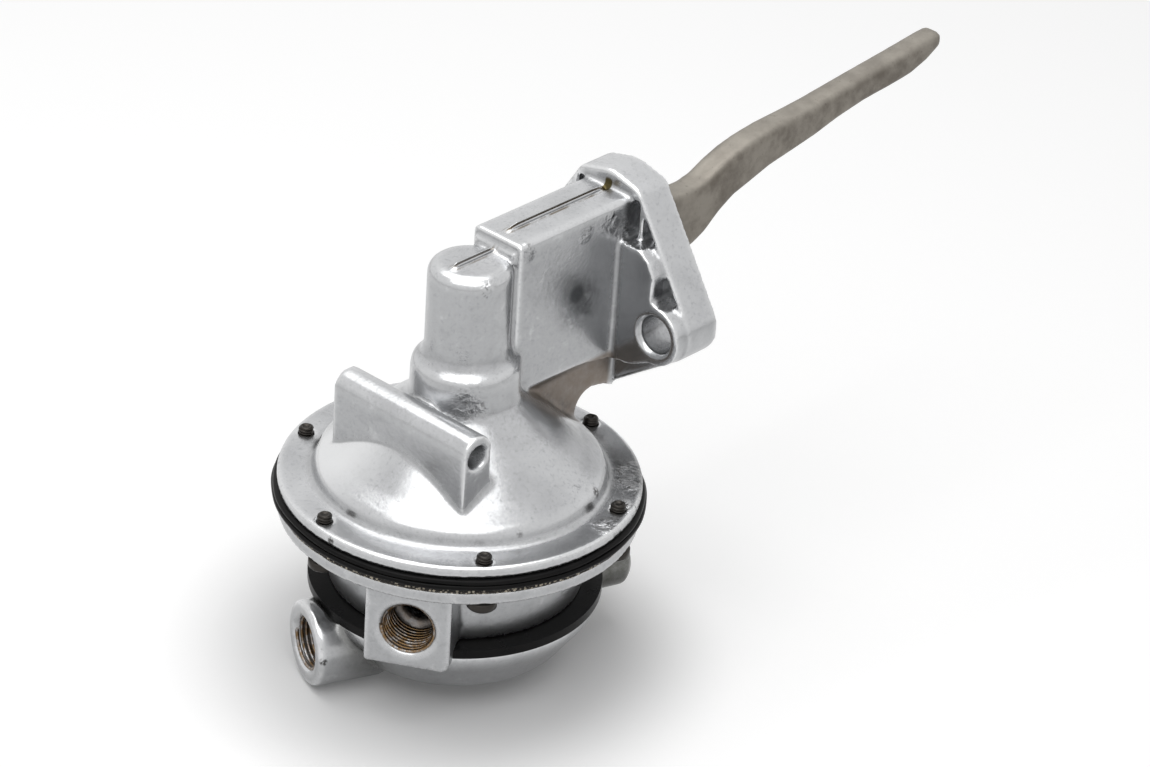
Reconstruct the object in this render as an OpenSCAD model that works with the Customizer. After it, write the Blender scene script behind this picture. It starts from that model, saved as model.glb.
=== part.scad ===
// Mechanical fuel pump with a lever arm.
// Heights are given from the top face of the round flange, and distances along the
// lever from the axis of the diaphragm. place() moves that to the middle of the
// engine flange's face, which is the origin of the finished pump.

/* [Round flanges] */
// Radius of the upper round flange
flange_r = 51; // [50:0.5:54]
// Thickness of the upper round flange
flange_t = 3.5; // [3:0.5:5]
// How far the valve body's flange stands back from the upper one
lower_flange_back = 0.2; // [0:0.1:1]
// Thickness of the valve body's round flange
lower_flange_t = 4; // [3:0.5:5]
// Distance of the body screws from the upper flange's edge
screw_inset = 4.1; // [3.6:0.1:5]
// Angle of the first body screw
screw_angle = 52.4; // [40:1:60]
// Number of body screws
screw_count = 6; // [4:1:6]
// Radius of a body screw
screw_r = 2.2; // [1.8:0.1:2.4]
// Length of thread that stands out of the upper flange
screw_stand = 2; // [1:0.5:4]

/* [Rubber and gasket] */
// How far the diaphragm's rim stands out of the upper flange
rim_out = 1.3; // [0:0.1:2]
// Thickness of the diaphragm
rubber_t = 1.5; // [1:0.1:2]
// How far the second rubber ring stands out of the upper flange
ring_out = 1.7; // [0:0.1:2.5]
// Thickness of the second rubber ring
ring_t = 1.5; // [1:0.1:2]
// How far the woven gasket stands out of the upper flange
gasket_out = 0.6; // [0:0.1:2]
// Thickness of the woven gasket
gasket_t = 1.6; // [1:0.1:2]
// How far the pulsator diaphragm stands out of the bottom cover
pulsator_out = 1; // [0.2:0.1:1.8]
// Thickness of the pulsator diaphragm
pulsator_t = 2.6; // [2:0.1:3.2]

/* [Dome and neck] */
// Distance of the dome's foot from the flange's edge
dome_inset = 9.7; // [9.5:0.1:11]
// Radius of the collar at the foot of the neck
collar_r = 15.4; // [15:0.1:16.5]
// Height of the collar's lower edge
collar_z = 25; // [24:0.5:27]
// Radius of the neck
neck_r = 11.8; // [11.5:0.1:12.5]
// Height of the neck's flat top
neck_z = 66.4; // [66:0.2:68]
// Wall of the casting
wall = 3; // [2.4:0.1:3.4]

/* [Cross bar] */
// Half the length of the cross bar
bar_half = 25.3; // [22:0.1:27]
// Distance of the bar's middle behind the axis
bar_x = 20.3; // [19:0.1:22]
// Radius of the bar's rounded top
bar_r = 5.3; // [4.5:0.1:5.8]
// Height of the middle of the bar's rounded top
bar_z = 24.7; // [23:0.1:26]
// Radius of the tapered blind hole in the bar's end
bar_hole_r = 3.7; // [2:0.1:4]
// Depth of the blind hole
bar_hole_depth = 8; // [5:0.5:14]
// How far the blind hole lies below the middle of the bar's rounded top
bar_hole_drop = 1.2; // [0:0.1:2]

/* [Arm housing] */
// Half the width of the arm housing
box_half = 9; // [8.8:0.1:10]
// Height of the arm housing's top
box_z = 70.6; // [70:0.1:73]
// Radius of the arm housing's upper edges
box_edge = 1.6; // [1:0.1:2.6]
// Half the width of the cavity that the arm swings in
cavity_half = 6.8; // [6.6:0.05:7]
// Height of the cavity's floor
cavity_floor = 32; // [31:0.5:33]
// Height of the cavity's ceiling
cavity_top = 64.5; // [64:0.5:66]
// Half the width of the web under the arm housing
web_half = 6; // [4:0.5:8]

/* [Engine flange] */
// Distance from the diaphragm's axis to the engine face
reach = 66.5; // [65.5:0.5:70]
// Thickness of the engine flange
plate_t = 12; // [11:0.5:13]
// Height that the hole pads stand behind the engine flange
pad_t = 4.6; // [3:0.2:5]
// Height of the bolt holes above the round flange
bolt_z = 34.5; // [33:0.5:36]
// Distance between the two bolt holes
bolt_spacing = 48.4; // [46:0.2:50]
// Radius of a bolt hole
bolt_hole_r = 5.5; // [4:0.1:5.8]
// Width of the bevel round a bolt hole, on the side away from the engine
bolt_bevel = 1.2; // [0.5:0.1:1.6]
// Radius of the flange's side corners, and of the pads round the holes
corner_r = 9.3; // [8.8:0.1:10]
// Width of the rim round the pockets in the engine flange's back
pocket_rim = 1.4; // [1:0.1:2.4]
// Depth of those pockets
pocket_depth = 4.5; // [3:0.5:6]

/* [Rocker arm] */
// Distance of the pivot behind the engine face
pivot_back = 29.5; // [28.5:0.5:30.5]
// Height of the pivot
pivot_z = 50; // [49.5:0.25:50.5]
// Radius of the pivot pin
pin_r = 4; // [3.5:0.1:4.2]
// Half the thickness of the arm
arm_half = 4.5; // [4.2:0.1:4.6]
// Length of the arm from the pivot to its tip
arm_length = 159; // [145:1:168]
// Radius of the arm's hub
hub_r = 8; // [7.5:0.1:8.4]

/* [Diaphragm drive] */
// Radius of the pull rod
rod_r = 2.5; // [2:0.1:2.6]
// Radius of the pull rod's head
head_r = 5.2; // [4.8:0.1:6]
// Distance of the upper diaphragm plate's edge from the clamped rim
plate_inset = 12.3; // [11:0.1:14]
// Height that the diaphragm's middle hangs below its rim
droop = 3; // [2.6:0.1:3.4]
// Radius of the diaphragm spring, to the middle of its wire
spring_r = 9.6; // [9:0.1:9.9]
// Radius of the diaphragm spring's wire
spring_wire = 1.1; // [0.8:0.1:1.3]
// Turns of the diaphragm spring
spring_turns = 5; // [4:1:6]

/* [Valve body] */
// Distance of the valve body's wall from the upper flange's edge
body_inset = 15; // [14:0.1:15.5]
// Depth of the valve body below the upper flange's top face
body_z = 32.7; // [32:0.1:34]
// Height of the valve deck's top below the upper flange's top face
deck_z = 14.5; // [14.5:0.1:15]
// Thickness of the valve deck
deck_t = 5; // [4:0.5:5.5]
// Radius of a valve's seat
valve_r = 8.5; // [8:0.1:9]
// Distance of each valve from the axis
valve_out = 15; // [14:0.5:16]
// Lift of a valve disc
valve_lift = 1.2; // [0.8:0.1:1.4]

/* [Outlet port] */
// Heading of the square outlet boss
outlet_angle = 210; // [205:1:215]
// How far the outlet boss stands out of the valve body's wall
outlet_out = 10; // [9:0.5:12]
// Sideways shift of the outlet boss
outlet_shift = -2; // [-3:0.5:0]
// Width of the outlet boss
outlet_w = 24.4; // [23:0.1:26]
// Height of the outlet boss's foot
outlet_foot = 37; // [36:0.1:38]
// Height of the outlet port's middle
outlet_z = 25; // [24.5:0.1:25.5]
// Radius of the ports' threaded bore
port_r = 7.35; // [7:0.05:7.5]
// Width of the bevel at the ports' mouths
port_bevel = 1.2; // [0.6:0.1:1.6]
// Depth of the threaded bore
port_depth = 13; // [12:0.5:14]

/* [Bottom cover] */
// How far the bottom cover's rim stands out of the valve body's foot
cover_out = 4.6; // [3.6:0.1:5]
// Depth of the cover's flat base
cover_z = 53; // [52:0.5:54]
// Distance of the flat base's edge from the cover's rim
base_inset = 11.6; // [10.5:0.1:14]
// Wall of the cover
cover_wall = 3.2; // [2.6:0.1:3.6]
// Heading of the round inlet boss
inlet_angle = 157; // [155:1:160]
// How far the inlet boss stands out of the cover's rim
inlet_out = 5.8; // [5:0.1:8]
// Sideways shift of the inlet boss
inlet_shift = 3; // [0:0.5:4]
// Height of the inlet port's middle
inlet_z = 46; // [45.5:0.1:46.5]
// Radius of the inlet boss
inlet_r = 12.4; // [12:0.1:13]
// Radius of the closed boss opposite
blind_r = 8.7; // [8:0.1:9]
// Heading of the closed boss
blind_angle = -20; // [-24:1:-16]
// How far the closed boss stands out of the cover's rim
blind_out = 12.4; // [9:0.1:13]
// Height of the closed boss's middle
blind_z = 39.6; // [39:0.1:40.5]

/* [Hidden] */
$fn = 96;
EPS = 0.01;             // overlap of cutting shapes past a face
SEAT = 0.02;            // gap of parts that are pressed together
RUN = 0.05;             // radial clearance of a running fit
GAP = 0.3;              // clearance between moving parts

// Radii that follow the upper flange
lower_flange_r = flange_r - lower_flange_back;
screw_circle_r = flange_r - screw_inset;
rim_r = flange_r + rim_out;
ring_r = flange_r + ring_out;
gasket_r = flange_r + gasket_out;
dome_r = flange_r - dome_inset;
body_r = flange_r - body_inset;
cover_r = body_r + cover_out;
pulsator_r = cover_r + pulsator_out;
base_r = cover_r - base_inset;
outlet_reach = body_r + outlet_out;
inlet_reach = cover_r + inlet_out;
blind_reach = cover_r + blind_out;
pivot_x = reach - pivot_back;

// Heights of the stack under the upper flange
rim_z = -flange_t;
ring_z = rim_z - rubber_t;
gasket_z = ring_z - ring_t;
lower_z = gasket_z - gasket_t;
lower_foot = lower_z - lower_flange_t;
pulsator_z = -body_z;
cover_top = pulsator_z - pulsator_t;
chamber_r = dome_r - wall;          // clamped edge of the diaphragm
plate_r = chamber_r - plate_inset;  // edge of the upper diaphragm plate

// Diaphragm drive
sheet_t = 1.5;                      // sheet of the two diaphragm plates
mid_top = rim_z - droop;            // top of the diaphragm's middle
mid_foot = mid_top - rubber_t;
seat_z = 20;                        // underside of the wall that the rod passes through
partition_t = 5;                    // thickness of that wall
neck_bore = neck_r - wall;
nose_r = 1.5;                       // rounded nose of the link's fork
nose_z = pivot_z + 2.5;
head_z = nose_z + nose_r + GAP;     // underside of the pull rod's head
head_t = 2.5;
nut_t = 3.4;
nut_r = 5.4;
cheek_t = 1.4;                      // sheet of the link's cheeks
cheek_in = cavity_half - 0.5 - cheek_t;
bridge_x = 10;                      // distance of the link's bridge from the rod

// Return spring under the arm
return_x = pivot_x + 14;
return_r = 3.6;
return_wire = 0.6;
return_top = 41;

// Mounting flange
plate_x = reach - plate_t;
pad_x = plate_x - pad_t;
bolt_y = bolt_spacing / 2;

// Angles of the valves
inlet_valve_at = 60;
outlet_valve_at = 240;

module place() {
    translate([-reach, 0, -bolt_z]) children();
}

// Points of an arc, centre c, radius r, from angle a to angle b in n steps
function arc(c, r, a, b, n = 8) =
    [for (i = [0:n]) c + r * [cos(a + (b - a) * i / n), sin(a + (b - a) * i / n)]];

// Smooth curve through points p, n steps to each span
function curve(p, n = 4) = [
    for (i = [0:len(p) - 2], j = [0:n - 1])
        let (t = j / n, a = p[max(i - 1, 0)], b = p[i], c = p[i + 1], d = p[min(i + 2, len(p) - 1)])
        b + t * (c - a) / 2 + t * t * (a - 2.5 * b + 2 * c - d / 2) + t * t * t * (3 * b - 3 * c + d - a) / 2,
    p[len(p) - 1]];

// Outline of a belt round circles [x, y, r], which are listed clockwise
function belt(c) = [
    for (i = [0:len(c) - 1])
        let (a = c[i], b = c[(i + 1) % len(c)], d = [b[0] - a[0], b[1] - a[1]],
             h = atan2(d[1], d[0]), k = acos((a[2] - b[2]) / norm(d)))
        each [[a[0], a[1]] + a[2] * [cos(h + k), sin(h + k)],
              [b[0], b[1]] + b[2] * [cos(h + k), sin(h + k)]]];

module belt_plate(c) {
    polygon(belt(c));
    for (k = c)
        translate([k[0], k[1]]) circle(r = k[2], $fn = 64);
}

// Coil with closed ends, drawn as one swept wire
module coil(r, wire, z0, z1, turns, sides = 6) {
    steps = 14;
    n = turns * steps;
    rise = (z1 - z0 - 2 * wire) / (turns - 1.5);
    height = function (i) let (t = i / steps)
        z0 + wire + rise * min(max(t - 0.75, 0), turns - 1.5);
    points = [for (i = [0:n], j = [0:sides - 1])
        let (a = 360 * i / steps, b = 360 * j / sides)
        [(r + wire * cos(b)) * cos(a), (r + wire * cos(b)) * sin(a), height(i) + 0.98 * wire * sin(b)]];
    faces = [
        [for (j = [0:sides - 1]) j],
        [for (j = [0:sides - 1]) n * sides + sides - 1 - j],
        for (i = [0:n - 1], j = [0:sides - 1])
            let (a = i * sides + j, b = i * sides + (j + 1) % sides)
            each [[a, a + sides, b + sides], [a, b + sides, b]]];
    polyhedron(points, faces, convexity = 6);
}

// Directions round the axis
module at_angle(a, out, shift, z) {
    rotate([0, 0, a]) translate([out, shift, z]) children();
}

// Upper housing
// Dome between its shoulder and the collar: shares of the run inwards and of the rise
dome_shares = [[1, 0], [0.705, 0.304], [0.392, 0.62], [0.148, 0.848], [0, 1]];
shoulder = [dome_r - 7.1, 8.6];
foot_r = 0.9;                       // fillet between the round flange and the dome
collar_foot = [collar_r + 1.2, collar_z - 0.6];
dome_run = [for (k = dome_shares)
    [collar_foot[0] + k[0] * (shoulder[0] - collar_foot[0]), shoulder[1] + k[1] * (collar_foot[1] - shoulder[1])]];
dome_outer = concat(
    [[0, -flange_t], [flange_r - 0.6, -flange_t]],
    [[flange_r, -flange_t + 0.6], [flange_r, -0.5], [flange_r - 0.5, 0], [dome_r + foot_r, 0]],
    arc([dome_r + foot_r, foot_r], foot_r, 270, 190, 4),
    arc([dome_r - 5, 1.6], 4.6, 15, 62, 6),
    curve(dome_run),
    [[collar_r, collar_z + 1.5], [collar_r - 0.1, collar_z + 9]],
    arc([collar_r - 3.6, collar_z + 9.6], 3.4, 0, 70, 5),
    [[neck_r, collar_z + 16]],
    arc([neck_r - 3.5, neck_z - 3.5], 3.5, 0, 90, 8),
    [[0, neck_z]]);

dome_inner = concat(
    [[0, -flange_t - 1], [chamber_r, -flange_t - 1], [chamber_r, -1]],
    arc([chamber_r - 5, -1], 5, 0, 55, 5),
    [[spring_r + spring_wire + 4.5, seat_z - 3], [spring_r + spring_wire + 0.6, seat_z], [0, seat_z]]);

module cross_bar() {
    foot = 6;
    translate([-bar_x, 0, 0]) {
        translate([0, bar_half, bar_z]) rotate([90, 0, 0]) cylinder(r = bar_r, h = 2 * bar_half);
        translate([-bar_r, -bar_half, foot]) cube([2 * bar_r, 2 * bar_half, bar_z - foot]);
    }
}

module arm_box() {
    edge = box_edge;
    y = box_half;
    arch_r = 6.5;
    arch_x = plate_x - 8;
    section = concat(
        [[-y, 24], [y, 24]],
        arc([y - edge, box_z - edge], edge, 0, 90, 6),
        arc([-y + edge, box_z - edge], edge, 90, 180, 6));
    translate([10, 0, 0]) rotate([90, 0, 90]) linear_extrude(plate_x - 9) polygon(section);
    // web that joins the dome, the housing and the engine flange, over a small arch
    web = concat(
        [[10, 26], [13, 15], [30, 8], [39, 2]],
        arc([arch_x, 5], arch_r, 190, 90, 6),
        [[plate_x - 3, 10.5], [plate_x + 1, 8.5], [plate_x + 1, 26]]);
    translate([0, web_half, 0]) rotate([90, 0, 0]) linear_extrude(2 * web_half) polygon(web);
    // the housing's lower edge dips towards the engine flange
    translate([0, y, 0]) rotate([90, 0, 0]) linear_extrude(2 * y)
        polygon([[plate_x - 34, 24.5], [plate_x - 24, 24.2], [plate_x - 16, 23.3], [plate_x - 8, 21.8],
                 [plate_x + 1, 20.2], [plate_x + 1, 24.5]]);
    // ledge at the foot of the housing's front end
    translate([8.8, -y + 1.4, neck_z - 1]) cube([2, 2 * y - 2.8, 2.8]);
    // sloping shoulders between the web and the housing's sides
    for (s = [-1, 1])
        translate([16, 0, 0]) rotate([90, 0, 90]) linear_extrude(plate_x - 15)
            polygon([[s * 3, 20], [s * (web_half - 0.5), 20], [s * box_half, 24.1], [s * 3, 25]]);
}

// Outline of the engine flange, looking along the lever
crown = [[-bolt_y, bolt_z, corner_r], [-8.2, 69.5, 4.3], [0, 65.1, 10.6], [8.2, 69.5, 4.3],
         [bolt_y, bolt_z, corner_r], [0, 14, 6.5]];
crown_in = [for (k = crown) [k[0], k[1], k[2] - pocket_rim]];

module along_lever(x, length) {
    translate([x, 0, 0]) rotate([90, 0, 90]) linear_extrude(length) children();
}

module pad_outline() {
    for (s = [-1, 1]) {
        translate([s * bolt_y, bolt_z]) circle(r = corner_r - 0.4);
        polygon([[s * 3, 58.5], [s * 17, 58.5], [s * 20.5, 56], [s * 22.6, 52.2], [s * 22.2, 44.6],
                 [s * (bolt_y + 2), bolt_z + 8], [s * bolt_y, bolt_z - corner_r + 0.8],
                 [s * 16, 22], [s * 3, 20]]);
    }
}

module engine_flange() {
    difference() {
        along_lever(plate_x, plate_t) belt_plate(crown);
        // pockets behind the rim, above the pads and beside them
        along_lever(plate_x - 1, pocket_depth + 1) difference() {
            intersection() {
                belt_plate(crown_in);
                translate([-40, 43]) square([80, 27]);
            }
            pad_outline();
            translate([-box_half, 0]) square([2 * box_half, box_z + 10]);
            for (s = [-1, 1])
                translate([s * 12.4 - 0.8, 56]) square([1.6, 20]);
        }
    }
    along_lever(pad_x, pad_t + 1) pad_outline();
}

module arm_cavity() {
    y = cavity_half;
    // swing space of the arm, open to the engine
    translate([0, -y, cavity_floor]) cube([plate_x + 3, 2 * y, cavity_top - cavity_floor]);
    translate([plate_x + 2, -y, cavity_floor + 1])
        cube([plate_t, 2 * y, cavity_top - cavity_floor - 1]);
    // bore of the neck
    translate([0, 0, seat_z + partition_t]) cylinder(r = neck_bore, h = cavity_top - seat_z - partition_t);
}

module upper_housing() {
    color("gainsboro") place() difference() {
        union() {
            rotate_extrude() polygon(dome_outer);
            cross_bar();
            arm_box();
            engine_flange();
            // thin parting ribs along the neck and the arm housing
            translate([-7, -0.7, neck_z - 1]) cube([18, 1.4, 1.7]);
            translate([14, -0.7, box_z - 1]) cube([plate_x - 14, 1.4, 1.7]);
            // boss of the pivot pin, on the side away from the cross bar's hole
            translate([pivot_x, box_half - 1, pivot_z]) rotate([-90, 0, 0]) cylinder(r = 7.5, h = 4.5);
        }
        rotate_extrude() polygon(dome_inner);
        arm_cavity();
        // seat of the rod seal, and the rod's way through it
        translate([0, 0, seat_z - EPS]) cylinder(r = seal_r, h = seal_t + EPS);
        cylinder(r = rod_r + GAP, h = 40);
        // tapered blind hole in the bar
        translate([-bar_x, -bar_half - EPS, bar_z - bar_hole_drop]) rotate([-90, 0, 0])
            cylinder(r1 = bar_hole_r, r2 = 0.45 * bar_hole_r, h = bar_hole_depth + EPS);
        // pivot pin, from the far side
        translate([pivot_x, -pin_near, pivot_z]) rotate([-90, 0, 0])
            cylinder(r = pin_r + SEAT, h = pin_far + pin_near + plug_t + 1);
        // bolt holes, bevelled on the side away from the engine
        for (s = [-1, 1])
            translate([pad_x - EPS, s * bolt_y, bolt_z]) rotate([0, 90, 0]) {
                cylinder(r = bolt_hole_r, h = plate_t + pad_t + 2 * EPS);
                cylinder(r1 = bolt_hole_r + bolt_bevel, r2 = bolt_hole_r, h = bolt_bevel);
            }
        // tapped holes of the body screws
        screws_at() translate([0, 0, -flange_t - EPS]) cylinder(r = screw_r + SEAT, h = flange_t + 2 * EPS);
        // slot where the parting rib meets the engine flange
        translate([plate_x - 2.4, -0.9, box_z - 1.2]) cube([2.2, 1.8, 4]);
    }
}

module screws_at() {
    for (k = [0:screw_count - 1])
        rotate([0, 0, screw_angle + 360 * k / screw_count]) translate([screw_circle_r, 0, 0]) children();
}

// Rubber and gasket
module ring(outer, inner, z, t) {
    translate([0, 0, z - t]) difference() {
        cylinder(r = outer, h = t);
        translate([0, 0, -EPS]) cylinder(r = inner, h = t + 2 * EPS);
    }
}

module diaphragm_rim() {
    color("black") place() difference() {
        ring(rim_r, chamber_r, rim_z, rubber_t);
        screws_at() translate([0, 0, rim_z - rubber_t - EPS]) cylinder(r = screw_r + GAP, h = rubber_t + 2 * EPS);
    }
}

module diaphragm() {
    bend = 3;
    edge = chamber_r - SEAT;
    color("black") place() rotate_extrude() polygon([
        [rod_r + SEAT, mid_top], [plate_r + 1, mid_top], [edge - bend, rim_z], [edge, rim_z],
        [edge, rim_z - rubber_t], [edge - bend, rim_z - rubber_t], [plate_r + 1, mid_foot],
        [rod_r + SEAT, mid_foot]]);
}

module rubber_ring() {
    color("black") place() difference() {
        ring(ring_r, chamber_r, ring_z, ring_t);
        screws_at() translate([0, 0, ring_z - ring_t - EPS]) cylinder(r = screw_r + GAP, h = ring_t + 2 * EPS);
    }
}

module body_gasket() {
    color("tan") place() difference() {
        ring(gasket_r, chamber_r, gasket_z, gasket_t);
        screws_at() translate([0, 0, gasket_z - gasket_t - EPS])
            cylinder(r = screw_r + GAP, h = gasket_t + 2 * EPS);
    }
}

fuel_way_r = 6;                     // way from the cover to the inlet valve
module pulsator_diaphragm() {
    color("black") place() difference() {
        translate([0, 0, cover_top]) cylinder(r = pulsator_r, h = pulsator_t);
        // the cover bolt and the fuel pass through
        translate([0, 0, cover_top - 1]) cylinder(r = bolt_stem_r + GAP, h = pulsator_t + 2);
        at_angle(inlet_valve_at, valve_out, 0, cover_top - 1) cylinder(r = fuel_way_r, h = pulsator_t + 2);
    }
}

// Body screws, put in from below, with their thread ends above the upper flange
screw_head_r = 4.2;
screw_head_t = 2.6;
module body_screws() {
    color("dimgray") place() screws_at() {
        top = screw_stand;
        translate([0, 0, lower_foot]) cylinder(r = screw_r, h = top - lower_foot - 0.5, $fn = 32);
        translate([0, 0, top - 0.5]) cylinder(r1 = screw_r, r2 = screw_r - 0.5, h = 0.5, $fn = 32);
        translate([0, 0, lower_foot - screw_head_t]) difference() {
            cylinder(r = screw_head_r, h = screw_head_t, $fn = 32);
            translate([0, 0, -EPS]) cylinder(r = 1.6, h = 1.4, $fn = 6);
        }
    }
}

// Valve body
seal_r = 6;
seal_t = 3.5;
body_top_r = body_r + 2;
chamber_wall = 3.2;
hub_out = 6.5;                      // middle pillar that takes the cover bolt
bolt_stem_r = 3;
divider_t = 3;

module valve_body() {
    inner = body_r - chamber_wall;
    deck_foot = -deck_z - deck_t;
    color("silver") place() difference() {
        union() {
            difference() {
                rotate_extrude() polygon([
                    [0, pulsator_z], [body_r, pulsator_z], [body_top_r, lower_foot - 1.2],
                    [body_top_r + 1.2, lower_foot], [lower_flange_r - 0.4, lower_foot],
                    [lower_flange_r, lower_foot + 0.4], [lower_flange_r, lower_z], [0, lower_z]]);
                // fuel rooms under the deck
                translate([0, 0, pulsator_z - EPS]) cylinder(r = inner, h = deck_foot - pulsator_z + EPS);
            }
            // wall between the inlet room and the outlet room, with its pillar
            translate([0, 0, pulsator_z]) cylinder(r = hub_out, h = deck_foot - pulsator_z + 1);
            rotate([0, 0, (inlet_valve_at + outlet_valve_at) / 2])
                translate([-inner - 1, -divider_t / 2, pulsator_z])
                cube([2 * inner + 2, divider_t, deck_foot - pulsator_z + 1]);
            outlet_boss();
        }
        // pump room over the deck
        translate([0, 0, -deck_z]) cylinder(r1 = inner - 3, r2 = chamber_r, h = deck_z + lower_z + EPS);
        // the outlet boss hangs outside the pulsator's edge
        translate([0, 0, cover_top - 3]) cylinder(r = pulsator_r + GAP, h = pulsator_z - cover_top + 3);
        // ports and their ways in
        at_angle(outlet_angle, outlet_reach, outlet_shift, -outlet_z) port_bore(port_depth + 8);
        // valve seats
        for (a = [inlet_valve_at, outlet_valve_at])
            at_angle(a, valve_out, 0, deck_foot - EPS) cylinder(r = valve_r + SEAT, h = deck_t + 1);
        // screw holes, and scallops for the screw heads
        screws_at() translate([0, 0, lower_foot - EPS]) cylinder(r = screw_r + GAP, h = lower_flange_t + 2 * EPS);
        screws_at() translate([0, 0, lower_foot - 6]) cylinder(r = screw_head_r + 2, h = 6);
        // thread of the cover bolt
        translate([0, 0, pulsator_z - EPS]) cylinder(r = bolt_stem_r + SEAT, h = bolt_grip + 2);
    }
}

// Bore of a port from its mouth inwards, with a bevel, and a narrower way on to the given depth
module port_bore(way) {
    rotate([0, -90, 0]) rotate_extrude() polygon([
        [0, -1], [port_r + port_bevel + 1, -1], [port_r, port_bevel], [port_r, port_depth],
        [port_r - 2.3, port_depth + 1.3], [port_r - 2.3, way], [0, way]]);
}

module outlet_boss() {
    edge = 2.4;
    w = outlet_w / 2;
    foot = -outlet_foot;
    section = concat(
        [[-w, lower_z - 1], [-w, foot]],
        arc([w - edge, foot + edge], edge, 270, 360, 6),
        [[w, lower_z - 1]]);
    at_angle(outlet_angle, body_r - 8, outlet_shift, 0) rotate([90, 0, 90])
        linear_extrude(outlet_reach - body_r + 8) polygon(section);
}

// Bottom cover
// Bowl of the pan: shares of the way from the base's edge out to the rim, and of the height
pan_shares = [[1, 0.9], [0.985, 0.82], [0.92, 0.73], [0.74, 0.575], [0.525, 0.37], [0.31, 0.17],
              [0.08, 0.05], [-0.2, 0]];
module cover_outside() {
    height = cover_top + cover_z;
    rotate_extrude() polygon(concat(
        [[0, cover_top], [cover_r, cover_top]],
        curve([for (k = pan_shares) [base_r + k[0] * (cover_r - base_r), -cover_z + k[1] * height]], 3),
        [[0, -cover_z]]));
}

// Round boss that runs out of the cover, its root tapered and its end bevelled
module port_boss(heading, shift, z, r, out, bevel) {
    root = base_r - 12;
    at_angle(heading, 0, shift, -z) rotate([0, 90, 0]) rotate_extrude() polygon([
        [0, root], [r - 8, root], [r, root + 9], [r, out - bevel], [r - bevel, out], [0, out]]);
}

module bottom_cover() {
    inner = body_r - chamber_wall;
    color("gainsboro") place() difference() {
        union() {
            cover_outside();
            port_boss(inlet_angle, inlet_shift, inlet_z, inlet_r, inlet_reach, 0.8);
            port_boss(blind_angle, 0, blind_z, blind_r, blind_reach, 2);
        }
        // room under the pulsator
        rotate_extrude() polygon(concat(
            [[0, cover_top + 1], [inner, cover_top + 1]],
            arc([base_r - 4, -cover_z + cover_wall + 5], 5, 0, -90, 6),
            [[0, -cover_z + cover_wall]]));
        // both bosses stay clear of the pulsator and the valve body
        translate([0, 0, cover_top]) cylinder(r = pulsator_r + GAP, h = 20);
        // inlet port and its way in
        at_angle(inlet_angle, inlet_reach, inlet_shift, -inlet_z) port_bore(port_depth + 12);
        // hole of the cover bolt
        translate([0, 0, -cover_z - 1]) cylinder(r = bolt_stem_r + GAP, h = 12);
    }
    // pillar round the cover bolt
    color("gainsboro") place() translate([0, 0, -cover_z + cover_wall - 1]) difference() {
        cylinder(r = hub_out, h = cover_top + cover_z - cover_wall + 1);
        translate([0, 0, -1]) cylinder(r = bolt_stem_r + GAP, h = 30);
    }
}

washer_t = 1.2;
washer_r = 7.6;
bolt_head_r = 6.4;
bolt_head_t = 4;
bolt_grip = 8;                      // length of the cover bolt's thread in the valve body
module cover_washer() {
    color("goldenrod") place() ring(washer_r, bolt_stem_r + GAP, -cover_z, washer_t);
}

module cover_bolt() {
    foot = -cover_z - washer_t;
    color("dimgray") place() {
        translate([0, 0, foot]) cylinder(r = bolt_stem_r, h = pulsator_z - foot + bolt_grip, $fn = 48);
        translate([0, 0, foot - bolt_head_t]) cylinder(r = bolt_head_r, h = bolt_head_t, $fn = 6);
    }
}

// Rocker arm
// Stations of the forging: share of its length, foot and top from the pivot's height,
// and share of its half thickness
arm_foot = return_top - pivot_z;    // underside that the return spring pushes on
arm_stations = [
    [-0.019, -6, 6.2, 1], [0.05, arm_foot, 8.6, 1], [0.126, arm_foot, 10.2, 1],
    [0.182, arm_foot - 0.2, 10.9, 1], [0.27, arm_foot - 0.4, 10.2, 1], [0.318, -8.7, 9.9, 1],
    [0.352, -6.2, 11, 1], [0.387, -1.8, 13.6, 1], [0.425, 1.5, 15.7, 0.99], [0.465, 3.2, 17.1, 0.98],
    [0.522, 5.8, 18.2, 0.97], [0.585, 7.3, 18.7, 0.95], [0.648, 8.9, 19.4, 0.93],
    [0.711, 11.2, 20.5, 0.91], [0.786, 13.1, 21.7, 0.9], [0.868, 14.1, 22.9, 0.9],
    [0.918, 15, 23.7, 0.9], [0.962, 17.2, 24.5, 0.89], [1, 20.2, 25.1, 0.84]];

// Rounded section of the forging at one station
function arm_section(s) = let (h = arm_half * s[3], c = min(1.9, h / 2)) [
    for (k = [[1, 1, 0], [-1, 1, 90], [-1, -1, 180], [1, -1, 270]], j = [0:2])
        [pivot_x + arm_length * s[0], k[0] * (h - c) + c * cos(k[2] + 45 * j),
         pivot_z + (k[1] > 0 ? s[2] - c : s[1] + c) + c * sin(k[2] + 45 * j)]];

module loft(sections) {
    m = len(sections[0]);
    n = len(sections);
    polyhedron(
        [for (s = sections) each s],
        [[for (j = [0:m - 1]) j],
         [for (j = [0:m - 1]) n * m - 1 - j],
         for (i = [0:n - 2], j = [0:m - 1])
            let (a = i * m + j, b = i * m + (j + 1) % m)
            each [[a, a + m, b + m], [a, b + m, b]]],
        convexity = 4);
}

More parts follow.
